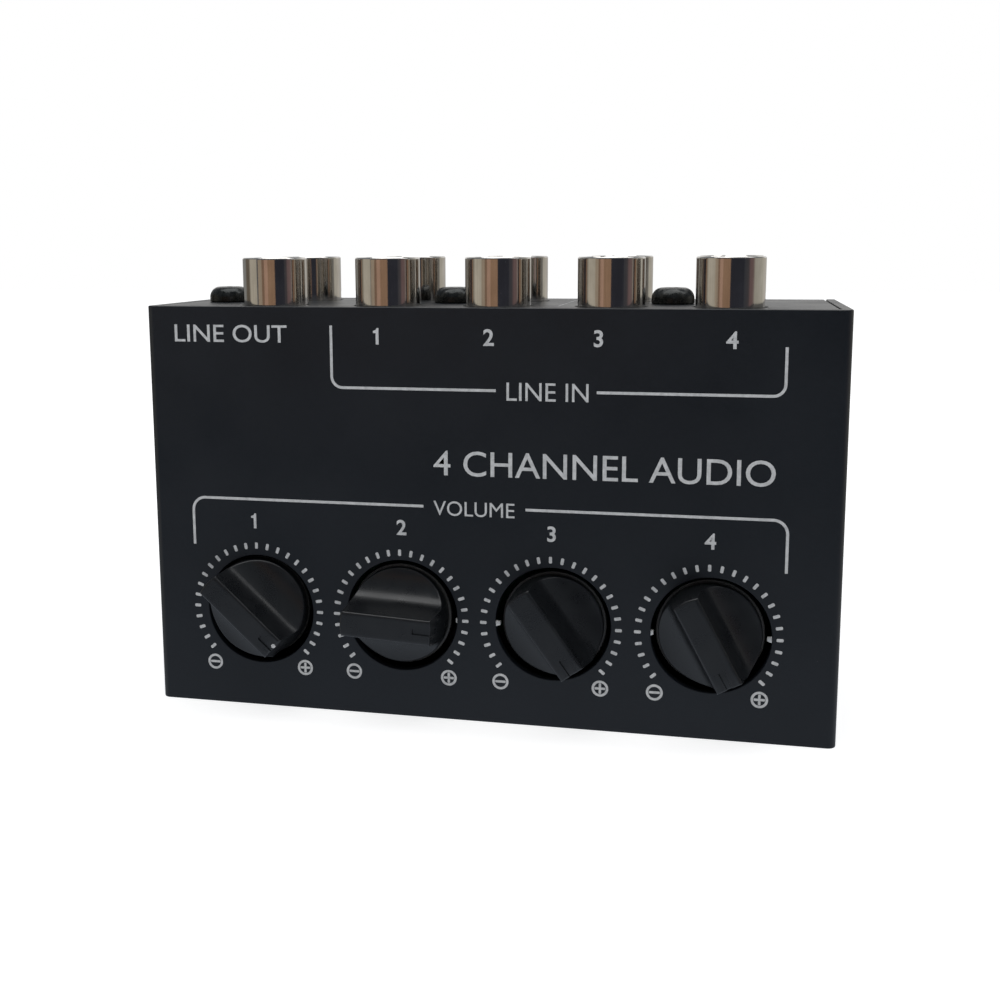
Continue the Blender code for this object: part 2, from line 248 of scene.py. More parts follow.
class Shading:
    """A material with one Principled shader, and short ways to drive its sockets by patterns."""

    def __init__(self, name, roughness, metallic=0.0, ior=1.5):
        self.material = bpy.data.materials.new(name)
        self.material.use_nodes = True
        self.tree = self.material.node_tree
        self.shader = self.tree.nodes["Principled BSDF"]
        self.shader.inputs["Roughness"].default_value = roughness
        self.shader.inputs["Metallic"].default_value = metallic
        self.shader.inputs["IOR"].default_value = ior
        self.place = self.tree.nodes.new("ShaderNodeTexCoord").outputs["Object"]

    def link(self, source, target):
        self.tree.links.new(source, target)

    def mapped(self, stretch):
        node = self.tree.nodes.new("ShaderNodeMapping")
        node.inputs["Scale"].default_value = stretch
        self.link(self.place, node.inputs["Vector"])
        return node.outputs["Vector"]

    def noise(self, size, detail=3.0, stretch=(1, 1, 1), roughness=0.5):
        """Noise whose blotches are about size millimetres across."""
        node = self.tree.nodes.new("ShaderNodeTexNoise")
        node.inputs["Scale"].default_value = 1 / (size * MM)
        node.inputs["Detail"].default_value = detail
        node.inputs["Roughness"].default_value = roughness
        self.link(self.mapped(stretch), node.inputs["Vector"])
        return node.outputs["Fac"]

    def specks(self, spacing, radius):
        """1 in round specks of about radius millimetres, one in each cell of spacing, else 0."""
        node = self.tree.nodes.new("ShaderNodeTexVoronoi")
        node.inputs["Scale"].default_value = 1 / (spacing * MM)
        self.link(self.place, node.inputs["Vector"])
        return self.between(node.outputs["Distance"], radius / spacing, 0.6 * radius / spacing, 0, 1)

    def between(self, value, low, high, to_low, to_high):
        node = self.tree.nodes.new("ShaderNodeMapRange")
        for socket, number in zip(("From Min", "From Max", "To Min", "To Max"), (low, high, to_low, to_high)):
            node.inputs[socket].default_value = number
        self.link(value, node.inputs["Value"])
        return node.outputs["Result"]

    def math(self, operation, first, second):
        node = self.tree.nodes.new("ShaderNodeMath")
        node.operation = operation
        for socket, value in zip(node.inputs, (first, second)):
            if isinstance(value, float):
                socket.default_value = value
            else:
                self.link(value, socket)
        return node.outputs["Value"]

    def ramp(self, value, *stops):
        """Colour ramp with (position, colour) stops."""
        node = self.tree.nodes.new("ShaderNodeValToRGB")
        set_stops(node.color_ramp, stops)
        self.link(value, node.inputs["Fac"])
        return node.outputs["Color"]

    def mix(self, factor, first, second):
        node = self.tree.nodes.new("ShaderNodeMix")
        node.data_type = "RGBA"
        self.link(factor, node.inputs["Factor"])
        for socket, value in ((node.inputs[6], first), (node.inputs[7], second)):
            if isinstance(value, tuple):
                socket.default_value = (*value, 1.0)
            else:
                self.link(value, socket)
        return node.outputs[2]

    def bump(self, height, depth, strength=1.0):
        """Relief of depth millimetres, on top of any relief set before."""
        node = self.tree.nodes.new("ShaderNodeBump")
        node.inputs["Strength"].default_value = strength
        node.inputs["Distance"].default_value = depth * MM
        self.link(height, node.inputs["Height"])
        if self.shader.inputs["Normal"].links:
            self.link(self.shader.inputs["Normal"].links[0].from_socket, node.inputs["Normal"])
        self.link(node.outputs["Normal"], self.shader.inputs["Normal"])

    def set(self, socket, output):
        self.link(output, self.shader.inputs[socket])


def set_stops(color_ramp, stops):
    while len(color_ramp.elements) > 1:
        color_ramp.elements.remove(color_ramp.elements[-1])
    for index, (position, colour) in enumerate(stops):
        element = color_ramp.elements[0] if index == 0 else color_ramp.elements.new(position)
        element.position = position
        element.color = (*colour, 1.0)


# ---------------------------------------------------------------- materials

def powder_paint():
    """Black satin powder paint: fine orange peel, faint cloudy tone and a little pale dust."""
    s = Shading("powder_paint", 0.38)
    cloud = s.noise(22, 2)
    grain = s.noise(0.35, 3)
    base = s.ramp(s.math("ADD", s.math("MULTIPLY", cloud, 0.7), s.math("MULTIPLY", grain, 0.3)),
                  (0.35, (0.0042, 0.0060, 0.0088)), (0.65, (0.0062, 0.0084, 0.0120)))
    dust = s.math("MULTIPLY", s.specks(3.1, 0.07), s.between(s.noise(9, 2), 0.52, 0.6, 0, 0.5))
    s.set("Base Color", s.mix(dust, base, (0.09, 0.09, 0.09)))
    s.set("Roughness", s.between(s.math("ADD", s.math("MULTIPLY", s.noise(7, 3), 0.6),
                                        s.math("MULTIPLY", grain, 0.4)), 0.35, 0.65, 0.33, 0.43))
    s.bump(s.noise(0.45, 3), 0.012)
    s.bump(s.noise(0.12, 2), 0.003)
    return s.material


def screen_print():
    """Light grey screen-print ink, slightly uneven in tone and with a matt skin."""
    s = Shading("screen_print", 0.55)
    s.set("Base Color", s.ramp(s.noise(0.5, 4), (0.3, (0.43, 0.44, 0.45)), (0.7, (0.58, 0.59, 0.60))))
    s.set("Roughness", s.between(s.noise(0.3, 3), 0.3, 0.7, 0.48, 0.66))
    s.bump(s.noise(0.15, 2), 0.004)
    return s.material


def knob_plastic():
    """Black moulded plastic: fine spark-eroded skin, handling polish, and a paler flange ring behind the
    panel face, which is painted light standing in for the light that reaches that recess, and partly settled
    dust.
    """
    s = Shading("knob_plastic", 0.36)
    tone = s.noise(3.0, 3)
    grain = s.noise(0.16, 3)
    base = s.ramp(tone, (0.3, (0.0070, 0.0080, 0.0095)), (0.7, (0.0105, 0.0118, 0.0136)))
    dust = s.math("MULTIPLY", s.specks(2.6, 0.06), s.between(s.noise(5, 2), 0.5, 0.6, 0, 0.6))
    # Painted light, partly dust: the flange ring behind the panel face gets a paler colour in place of the
    # light that reaches into the recess.
    depth = s.tree.nodes.new("ShaderNodeSeparateXYZ")
    s.link(s.place, depth.inputs[0])
    near = s.between(depth.outputs["Y"], (PANEL_Y + 0.85) * MM, (PANEL_Y + 1.15) * MM, 0, 1)
    far = s.between(depth.outputs["Y"], (PANEL_Y + 1.5) * MM, (PANEL_Y + 1.7) * MM, 1, 0)
    patchy = s.between(s.noise(1.2, 3), 0.3, 0.7, 0.7, 1.0)
    painted_flange_light_and_dust = s.math("MULTIPLY", s.math("MULTIPLY", near, far), patchy)
    s.set("Base Color", s.mix(painted_flange_light_and_dust, s.mix(dust, base, (0.16, 0.16, 0.15)), (0.05, 0.05, 0.049)))
    s.set("Roughness", s.between(s.math("ADD", s.math("MULTIPLY", tone, 0.6), s.math("MULTIPLY", grain, 0.4)),
                                 0.35, 0.65, 0.25, 0.36))
    s.bump(grain, 0.005)
    return s.material


def nickel_plate():
    """Polished nickel over drawn steel: fine lines along the barrel, faint stains and pin specks."""
    s = Shading("nickel_plate", 0.08, metallic=1.0)
    lines = s.noise(0.10, 4, stretch=(1, 1, 0.012), roughness=0.6)
    stain = s.noise(1.6, 3, stretch=(1, 1, 0.5))
    s.set("Base Color", s.ramp(s.math("ADD", s.math("MULTIPLY", stain, 0.6), s.math("MULTIPLY", lines, 0.4)),
                               (0.35, (0.57, 0.55, 0.52)), (0.65, (0.72, 0.70, 0.67))))
    s.set("Roughness", s.between(s.math("ADD", s.math("MULTIPLY", stain, 0.4),
                                        s.math("MULTIPLY", s.noise(0.05, 2), 0.6)), 0.3, 0.7, 0.05, 0.13))
    s.bump(lines, 0.0012)
    s.bump(s.specks(0.9, 0.035), 0.003)
    return s.material


def bare_steel():
    """Sheared bare metal at the hole edges, with fine file marks."""
    s = Shading("bare_steel", 0.45, metallic=0.7)
    marks = s.noise(0.06, 3, stretch=(1, 1, 0.2))
    s.set("Base Color", s.ramp(marks, (0.3, (0.62, 0.62, 0.60)), (0.7, (0.85, 0.85, 0.83))))
    s.set("Roughness", s.between(marks, 0.3, 0.7, 0.35, 0.55))
    s.bump(marks, 0.004)
    return s.material


def blackened_steel():
    """Black oxide screws with worn, paler high spots and fine turning marks."""
    s = Shading("blackened_steel", 0.38, metallic=0.6)
    wear = s.noise(0.8, 4)
    s.set("Base Color", s.ramp(wear, (0.35, (0.016, 0.018, 0.018)), (0.62, (0.035, 0.037, 0.036)),
                               (0.78, (0.12, 0.12, 0.115))))
    s.set("Roughness", s.between(wear, 0.3, 0.7, 0.16, 0.34))
    s.bump(s.noise(0.4, 4), 0.02)
    return s.material


def insulator_plastic(name, dark, light):
    """Moulded nylon with a slight mottle and soft sheen."""
    s = Shading(name, 0.42)
    mottle = s.noise(0.9, 4)
    s.set("Base Color", s.ramp(mottle, (0.3, dark), (0.7, light)))
    s.set("Roughness", s.between(s.noise(0.3, 3), 0.3, 0.7, 0.36, 0.54))
    s.bump(s.noise(0.2, 3), 0.006)
    return s.material


def tinned_contact():
    s = Shading("tinned_contact", 0.25, metallic=1.0)
    tone = s.noise(0.5, 4)
    s.set("Base Color", s.ramp(tone, (0.3, (0.60, 0.57, 0.50)), (0.7, (0.76, 0.74, 0.68))))
    s.set("Roughness", s.between(tone, 0.3, 0.7, 0.18, 0.36))
    s.bump(s.noise(0.08, 2, stretch=(1, 1, 0.05)), 0.002)
    return s.material


def block_plastic():
    s = Shading("block_plastic", 0.55)
    flow = s.noise(4, 3, stretch=(1, 1, 0.3))
    s.set("Base Color", s.ramp(flow, (0.3, (0.018, 0.018, 0.019)), (0.7, (0.032, 0.032, 0.032))))
    s.set("Roughness", s.between(s.noise(0.4, 3), 0.3, 0.7, 0.46, 0.66))
    s.bump(s.noise(0.25, 3), 0.01)
    return s.material


def turned_aluminium():
    s = Shading("turned_aluminium", 0.3, metallic=1.0)
    rings = s.noise(0.08, 3, stretch=(0.02, 1, 0.02))
    s.set("Base Color", s.ramp(rings, (0.3, (0.52, 0.52, 0.52)), (0.7, (0.68, 0.68, 0.67))))
    s.set("Roughness", s.between(rings, 0.3, 0.7, 0.24, 0.42))
    s.bump(rings, 0.004)
    return s.material


def zinc_cover():
    s = Shading("zinc_cover", 0.38, metallic=1.0)
    brushed = s.noise(0.12, 3, stretch=(0.05, 1, 1))
    bloom = s.noise(3, 4)
    s.set("Base Color", s.ramp(bloom, (0.3, (0.44, 0.44, 0.42)), (0.7, (0.60, 0.59, 0.55))))
    s.set("Roughness", s.between(bloom, 0.3, 0.7, 0.30, 0.50))
    s.bump(brushed, 0.004)
    return s.material


def board_laminate():
    """Green solder mask over a faint glass weave."""
    s = Shading("board_laminate", 0.4)
    weave = s.noise(0.5, 2, stretch=(1, 1, 0.3))
    s.set("Base Color", s.ramp(s.noise(6, 3), (0.3, (0.012, 0.11, 0.045)), (0.7, (0.022, 0.17, 0.075))))
    s.set("Roughness", s.between(weave, 0.3, 0.7, 0.32, 0.50))
    s.bump(weave, 0.01)
    return s.material


# ---------------------------------------------------------------- case

def channel_outline():
    """Plan of the front panel and its two side walls, with rounded bends outside and inside."""
    half = case_high.x
    front, back = case_low.y, case_high.y
    inner_r = 0.3
    left = arc((-half + BEND_R, front + BEND_R), BEND_R, 180, 270, BEND_STEPS)
    right = [(-x, y) for x, y in reversed(left)]
    inside_right = arc((half - SHEET - inner_r, front + SHEET + inner_r), inner_r, 0, -90, 4)
    inside_left = [(-x, y) for x, y in reversed(inside_right)]
    return ([(-half, back)] + left + right + [(half, back), (half - SHEET, back)]
            + inside_right + inside_left + [(-half + SHEET, back)])


def side_screws():
    """Every case screw as (node, place), with local +Z outwards and the origin on the side wall."""
    places = []
    for side, turn in (("left", -90), ("right", 90)):
        for level in ("lower", "upper"):
            node = f"case_screw_{side}_{level}"
            low, high = box_mm(node)
            x = case_low.x if side == "left" else case_high.x
            at = Matrix.Translation((x, (low.y + high.y) / 2, (low.z + high.z) / 2))
            places.append((node, at @ Matrix.Rotation(radians(turn), 4, "Y")))
    return places


def make_front_cover(paint):
    bm = bmesh.new()
    outline = channel_outline()
    add_loft(bm, [(x, y, case_low.z) for x, y in outline], [(x, y, TOP_Z) for x, y in outline])
    holes = bmesh.new()
    for x, z in zip(HOLE_X, HOLE_Z):
        place = Matrix.Translation((x, PANEL_Y, z)) @ Matrix.Rotation(radians(90), 4, "X")
        add_turned(holes, [(0, -4), (HOLE_R, -4), (HOLE_R, 2), (0, 2)], 128, place)
    seat = [(0, -2), (CSK_HOLE_R, -2), (CSK_HOLE_R, CSK_HOLE_R - CSK_SEAT_R), (CSK_SEAT_R, 0),
            (CSK_SEAT_R, 2), (0, 2)]
    for _, place in side_screws():
        add_turned(holes, seat, 48, place)
    mesh = build_mesh("case_front", bm, [holes], EDGE)
    piece("case_front", mesh, paint, "console", ["front_shell"])


def rear_section():
    """Side view of the folded top plate, back and bottom, as (y, z)."""
    front, back = plate_low.y, plate_high.y
    outer = BEND_R
    inner = 0.3
    return ([(front, 0)] + arc((back - outer, outer), outer, -90, 0, BEND_STEPS)
            + arc((back - outer, TOP_Z - outer), outer, 0, 90, BEND_STEPS)
            + [(front, TOP_Z), (front, TOP_Z - SHEET)]
            + arc((back - SHEET - inner, TOP_Z - SHEET - inner), inner, 90, 0, 4)
            + arc((back - SHEET - inner, SHEET + inner), inner, 0, -90, 4) + [(front, SHEET)])


def make_rear_cover(paint):
    bm = bmesh.new()
    section = rear_section()
    low_x, high_x = plate_low.x, plate_high.x
    add_loft(bm, [(low_x, y, z) for y, z in section], [(high_x, y, z) for y, z in section])
    holes = bmesh.new()
    for jack in JACKS:
        low, high = box_mm("barrel_" + jack)
        place = Matrix.Translation(((low.x + high.x) / 2, (low.y + high.y) / 2, TOP_Z))
        add_turned(holes, [(0, -3), (SOCKET_R, -3), (SOCKET_R, 3), (0, 3)], 72, place)
    for block in ("out", "in_12", "in_34"):
        low, high = box_mm("jack_screw_" + block)
        place = Matrix.Translation(((low.x + high.x) / 2, (low.y + high.y) / 2, TOP_Z))
        add_turned(holes, [(0, -3), (SCREW_HOLE_R, -3), (SCREW_HOLE_R, 3), (0, 3)], 36, place)
    mesh = build_mesh("case_rear", bm, [holes], EDGE)
    piece("case_rear", mesh, paint, "console", ["rear_shell"])


def make_rear_flanges(paint):
    """Side flanges of the rear cover, inside the side walls, which the case screws hold."""
    for side, name in ((-1, "left"), (1, "right")):
        outer = plate_high.x * side
        inner = outer - SHEET * side
        bm = bmesh.new()
        back = plate_high.y - SHEET
        low = (min(outer, inner), back - FLANGE_D + SHEET, SHEET)
        high = (max(outer, inner), back, TOP_Z - SHEET)
        add_box(bm, low, high)
        holes = bmesh.new()
        for node, place in side_screws():
            if name in node:
                add_turned(holes, [(0, -5), (CSK_HOLE_R, -5), (CSK_HOLE_R, 2), (0, 2)], 36, place)
        mesh = build_mesh("flange_" + name, bm, [holes], EDGE)
        piece("case_flange_" + name, mesh, paint, "console")


def make_hole_nibs(steel):
    """Bare sheared spots left at the sides of three of the knob holes."""
    spots = ((2, 1, 0.2), (3, -1, 0.6), (4, -1, 0.36), (4, 1, 0.56))
    for number, side, reach in spots:
        x = HOLE_X[number - 1] + side * HOLE_R
        outline = [(0.12, 0.2), (-reach, 0.12), (-reach, -0.36), (0.12, -0.62)]
        points = [(x + side * across, NIB_Z + up) for across, up in outline]
        bm = bmesh.new()
        add_loft(bm, [(px, PANEL_Y + 0.12, pz) for px, pz in points],
                 [(px, PANEL_Y + 0.62, pz) for px, pz in points])
        name = f"hole_nib_{number}_{'left' if side < 0 else 'right'}"
        piece(name, build_mesh(name, bm, edge=0.05), steel, "console")


# ---------------------------------------------------------------- screws

def add_cross(bm, wing, half_width, top, bottom, matrix):
    """Tapered cross recess: wing and half_width at the top, shrinking to the bottom."""
    def outline(scale, height):
        w, h = wing * scale, half_width * (0.4 + 0.6 * scale)
        corner = [(w, -h), (w, h), (h, h)]
        points = [Matrix.Rotation(radians(90 * quarter), 2) @ Vector(p)
                  for quarter in range(4) for p in corner]
        return [matrix @ Vector((p.x, p.y, height)) for p in points]
    add_loft(bm, outline(0.45, bottom), outline(1.0, top))


def make_jack_screws(steel):
    """Domed pan-head screws on the top plate, each with its cross recess turned differently."""
    head_r, head_h, shank_r, shank = 2.74, 1.8, 1.5, 7.0
    for block, turn in (("out", 20), ("in_12", 65), ("in_34", 35)):
        low, high = box_mm("jack_screw_" + block)
        crest = high.z - PAN_DROP
        place = Matrix.Translation(((low.x + high.x) / 2, (low.y + high.y) / 2, crest))
        place = place @ Matrix.Rotation(radians(turn), 4, "Z")
        seat = TOP_Z - crest + 0.02
        side = arc((head_r - 1.4, -1.4), 1.4, 0, 80, 10)
        profile = [(0, -head_h - shank), (shank_r, -head_h - shank), (shank_r, seat),
                   (head_r - 0.12, seat), (head_r, seat + 0.12)] + side + [(0.7, 0), (0, 0)]
        bm = bmesh.new()
        add_turned(bm, profile, 64, place)
        recess = bmesh.new()
        add_cross(recess, 1.5, 0.36, 0.3, -1.3, place)
        name = "pan_screw_" + block
        mesh = build_mesh(name, bm, [recess], smooth=35)
        piece(name, mesh, steel, "console", ["jack_screw_" + block])


def make_case_screws(steel):
    """Countersunk screws, flush with the side walls."""
    length = 3.2
    neck = CSK_SHANK_R - CSK_R
    for index, (node, place) in enumerate(side_screws()):
        place = place @ Matrix.Rotation(radians(25 + 40 * index), 4, "Z")
        profile = [(0, -length), (CSK_SHANK_R, -length), (CSK_SHANK_R, neck), (CSK_R - 0.06, -0.1),
                   (CSK_R, -0.04), (CSK_R - 0.04, 0), (0, 0)]
        bm = bmesh.new()
        add_turned(bm, profile, 64, place)
        recess = bmesh.new()
        add_cross(recess, 1.25, 0.3, 0.3, -1.1, place)
        name = node.replace("case_screw", "countersunk_screw")
        mesh = build_mesh(name, bm, [recess], smooth=35)
        piece(name, mesh, steel, "console", [node])


# ---------------------------------------------------------------- phono sockets

def make_sockets(nickel, white, red, tin):
    """Phono sockets: rolled barrel, insulator ring and a contact of three leaves with slits between them."""
    rise = box_mm("barrel_" + JACKS[0])[1].z - TOP_Z
    sunk = TOP_Z - box_mm("barrel_" + JACKS[0])[0].z
    barrel_r, bore = 4.18, 3.68
    lip = 0.2
    barrel = ([(bore, -sunk), (barrel_r, -sunk), (barrel_r, -sunk + 0.1), (barrel_r, rise - lip - 0.05)]
              + arc((barrel_r - lip, rise - lip), lip, 0, 90, 6) + [(bore + 0.16, rise), (bore, rise - 0.22)])
    top = rise - 0.9
    insulator = ([(2.26, -sunk), (3.36, -sunk)] + arc((3.11, top - 0.25), 0.25, 0, 90, 4)
                 + [(2.56, top), (2.26, top - 0.3)])
    tip = rise - 1.5
    contact = [(1.6, -sunk), (1.94, -sunk), (1.94, tip - 0.12), (1.86, tip), (1.7, tip), (1.6, tip - 0.12)]
    slit = 0.16
    for jack in JACKS:
        low, high = box_mm("barrel_" + jack)
        place = Matrix.Translation(((low.x + high.x) / 2, (low.y + high.y) / 2, TOP_Z))
        for name, profile, steps, material, slot in (
                ("barrel", barrel, 128, nickel, "nickel"),
                ("insulator", insulator, 72, red if jack.endswith("rear") else white,
                 "red_insulator" if jack.endswith("rear") else "white_insulator")):
            bm = bmesh.new()
            add_turned(bm, profile, steps, place)
            made = f"socket_{name}_{jack}"
            piece(made, build_mesh(made, bm), material, "console", [f"{name}_{jack}"])
        bm = bmesh.new()
        for leaf in range(3):
            add_turned(bm, contact, 14, place, leaf * tau / 3 + slit / 2, tau / 3 - slit)
        made = "socket_contact_" + jack
        piece(made, build_mesh(made, bm), tin, "console", ["contact_" + jack])


# ---------------------------------------------------------------- knobs

def knob_columns(inner, low):
    """Half section across the bar as (across, out), from beside the centre line to the rim."""
    columns = [(GROOVE_HALF - 0.06, KNOB_RISE), (GROOVE_HALF, KNOB_RISE), (0.75, KNOB_RISE), (1.1, KNOB_RISE)]
    columns += [(BAR_HALF - BAR_ROUND + BAR_ROUND * sin(a), KNOB_RISE - BAR_ROUND * (1 - cos(a)))
                for a in [radians(t) for t in (0, 22.5, 45, 67.5)]]

    def scoop(across):
        return low + SCOOP_TILT * (inner - across) + SCOOP_CURVE * (inner - across) ** 2

    wall = KNOB_RISE - BAR_ROUND - scoop(BAR_HALF)
    foot = [BAR_HALF + step for step in (0, 0.05, 0.11, 0.18, 0.26, 0.36, 0.48, 0.61, 0.75, 0.9)]
    first = degrees(asin((BAR_HALF + 1.0) / inner))
    rest = [inner * sin(radians(first + (90 - first) * i / 24)) for i in range(25)]
    for across in foot + rest:
        columns.append((across, scoop(across) + wall * exp(-(across - BAR_HALF) / BAR_FOOT)))
    return columns


def knob_bmesh(place, rim_r, rim_level):
    """Disc with a finger bar between two scoops.  The bar lies along local Z and rises along local -Y."""
    inner = rim_r - RIM_ROUND
    half = knob_columns(inner, rim_level)
    columns = [(-x, out) for x, out in reversed(half)] + half
    shares = (-1, -0.6, -0.2, 0.2, GROOVE_START, GROOVE_START + 0.012, 0.75, 1)
    bm = bmesh.new()

    def vertex(across, along, out):
        return bm.verts.new(place @ Vector((across, -out, along)))

    last = len(columns) - 1
    grid, ends = [], {}
    for i, (across, out) in enumerate(columns):
        reach = sqrt(max(inner ** 2 - across ** 2, 0))
        pointer_reach = min(reach, POINTER_END - RIM_ROUND + (KNOB_RISE - out) * POINTER_SLOPE)
        grooved = abs(across) < GROOVE_HALF - 0.01
        heights = [out - GROOVE_DEPTH if grooved and share > GROOVE_START else out for share in shares]
        if i in (0, last):
            point = vertex(across, 0, out)
            grid.append([point] * len(shares))
            ends[i, -1] = ends[i, 1] = (point, across, 0.0, out)
            continue
        grid.append([vertex(across, share * (reach if share < 0 else pointer_reach), h)
                     for share, h in zip(shares, heights)])
        ends[i, -1] = (grid[-1][0], across, -reach, heights[0])
        ends[i, 1] = (grid[-1][-1], across, pointer_reach, heights[-1])
    for left, right in zip(grid, grid[1:]):
        for j in range(len(shares) - 1):
            corners = [left[j], right[j], right[j + 1], left[j + 1]]
            bm.faces.new(list(dict.fromkeys(corners)))
    rim = [ends[i, 1] for i in range(last + 1)] + [ends[i, -1] for i in range(last - 1, 0, -1)]
    loops = [[point for point, *_ in rim]]
    for step in (1, 2, 3, 4):
        a = radians(22.5 * step)
        ring = []
        for _, across, along, out in rim:
            length = Vector((across, along)).length
            radius = length + RIM_ROUND * sin(a)
            drop = RIM_ROUND * (1 - cos(a))
            ring.append(vertex(across / length * radius, along / length * radius, out - drop))
        loops.append(ring)
    for radius, out in ((rim_r, -FLANGE_FALL + 0.1), (rim_r, -FLANGE_FALL),
                        (KNOB_R - 0.16, -FLANGE_FALL), (KNOB_R - 0.08, -FLANGE_FALL - 0.02),
                        (KNOB_R - 0.02, -FLANGE_FALL - 0.08), (KNOB_R, -FLANGE_FALL - 0.16),
                        (KNOB_R, -FLANGE_FALL - 0.3),
                        (KNOB_R, -KNOB_SUNK), (BORE_R, -KNOB_SUNK), (BORE_R, BORE_TOP)):
        loops.append([vertex(across / Vector((across, along)).length * radius,
                             along / Vector((across, along)).length * radius, out)
                      for _, across, along, _ in rim])
    for upper, lower in zip(loops, loops[1:]):
        for i in range(len(rim)):
            j = (i + 1) % len(rim)
            bm.faces.new((upper[i], upper[j], lower[j], lower[i]))
    bm.faces.new(loops[-1])
    return bm


def make_paint_dot(place, ink):
    """Small white dot in the pointer groove of the first knob, in the print ink."""
    radius, height = 0.27, 0.1
    spot = place @ Matrix.Translation((-0.48, -KNOB_RISE, 5.22)) @ Matrix.Rotation(pi / 2, 4, "X")
    profile = [(0, -0.25), (radius, -0.25), (radius, 0.02), (radius * 0.75, height * 0.75),
               (radius * 0.4, height), (0, height)]
    bm = bmesh.new()
    add_turned(bm, profile, 32, spot)
    piece("pointer_dot_1", build_mesh("pointer_dot_1", bm, smooth=60), ink, "level_1")


def make_knobs(plastic, ink):
    for number in (1, 2, 3, 4):
        joint = JOINTS[f"level_{number}"]
        rest = STOP_ANGLE - joint["range_deg"][1]
        place = Matrix.Translation(Vector(joint["pos_m"]) / MM) @ Matrix.Rotation(radians(rest), 4, "Y")
        name = f"pointer_knob_{number}"
        mesh = build_mesh(name, knob_bmesh(place, *(RIM_1 if number == 1 else RIM)), smooth=32)
        piece(name, mesh, plastic, f"level_{number}", [f"knob_{number}"])
        if number == 1:
            make_paint_dot(place, ink)


# ---------------------------------------------------------------- print

def add_print(bm, outline):
    """Thin raised print from a closed outline of (across, up) points."""
    points = [(PRINT_LEFT + x, z) for x, z in outline]
    add_loft(bm, [(x, PANEL_Y + PRINT_SUNK, z) for x, z in points],
             [(x, PANEL_Y - PRINT_RISE, z) for x, z in points])


def add_ring_print(bm, centre, outer, inner):
    place = Matrix.Translation((PRINT_LEFT + centre[0], PANEL_Y, centre[1])) @ Matrix.Rotation(pi / 2, 4, "X")
    add_turned(bm, [(inner, -PRINT_SUNK), (outer, -PRINT_SUNK), (outer, PRINT_RISE), (inner, PRINT_RISE)],
               48, place)


def pill(centre, length, width, angle):
    """Rectangle with clipped corners, its length along angle degrees clockwise from up."""
    clip = width * 0.22
    half_w, half_l = width / 2, length / 2
    corner = [(half_w, half_l - clip), (half_w - clip, half_l)]
    points = corner + [(-x, y) for x, y in reversed(corner)]
    points += [(-x, -y) for x, y in points]
    turn = Matrix.Rotation(-radians(angle), 2)
    return [tuple(turn @ Vector(p) + Vector(centre)) for p in points]


def stroke(path, width):
    """Outline of a line of constant width along a path of points."""
    left, right = [], []
    for i, point in enumerate(path):
        before = Vector(path[max(i - 1, 0)])
        after = Vector(path[min(i + 1, len(path) - 1)])
        along = (after - before).normalized()
        across = Vector((-along.y, along.x)) * width / 2
        left.append(tuple(Vector(point) + across))
        right.append(tuple(Vector(point) - across))
    return left + right[::-1]


def make_scale(number, ink):
    """Dial scale of one knob: 27 ticks, and a minus and a plus in circles."""
    x = RING_X + (number - 1) * RING_PITCH
    bm = bmesh.new()
    for angle in range(-TICK_STOP, TICK_STOP + 1, TICK_STEP):
        centre = (x + TICK_R * sin(radians(angle)), RING_Z + TICK_R * cos(radians(angle)))
        add_print(bm, pill(centre, TICK_L, TICK_W, angle))
    for side in (-1, 1):
        centre = (x + side * SIGN_X, SIGN_Z)
        add_ring_print(bm, centre, SIGN_R, SIGN_R - SIGN_LINE)
        add_print(bm, pill(centre, 2 * (SIGN_R - SIGN_LINE) - 0.12, SIGN_LINE, 90))
        if side > 0:
            half = SIGN_R - SIGN_LINE - 0.06
            for end in (-1, 1):
                middle = (centre[0], centre[1] + end * (half + SIGN_LINE / 2) / 2)
                add_print(bm, pill(middle, half - SIGN_LINE / 2, SIGN_LINE, 0))
    name = f"print_scale_{number}"
    piece(name, build_mesh(name, bm), ink, "console")


def bracket(vertical_x, end_z, line_z, end_x, corner_r):
    """Path from a vertical's free end round one corner and along the line."""
    side = 1 if end_x > vertical_x else -1
    up = 1 if line_z > end_z else -1
    centre = (vertical_x + side * corner_r, line_z - up * corner_r)
    first = 180 if side > 0 else 0
    corner = arc(centre, corner_r, first, first - side * up * 90, 8)
    return [(vertical_x, end_z)] + corner + [(end_x, line_z)]


def make_brackets(ink):
    lines = {"inputs_left": (25.0, 50.96, 43.1, 46.2, 1.4), "inputs_right": (80.9, 48.9, 43.1, 58.7, 1.4),
             "levels_left": (5.4, 21.78, 28.15, 36.84, 1.7), "levels_right": (81.7, 21.7, 28.2, 49.97, 1.7)}
    for place, measures in lines.items():
        bm = bmesh.new()
        add_print(bm, stroke(bracket(*measures), LINE_W))
        name = "print_bracket_" + place
        piece(name, build_mesh(name, bm), ink, "console")


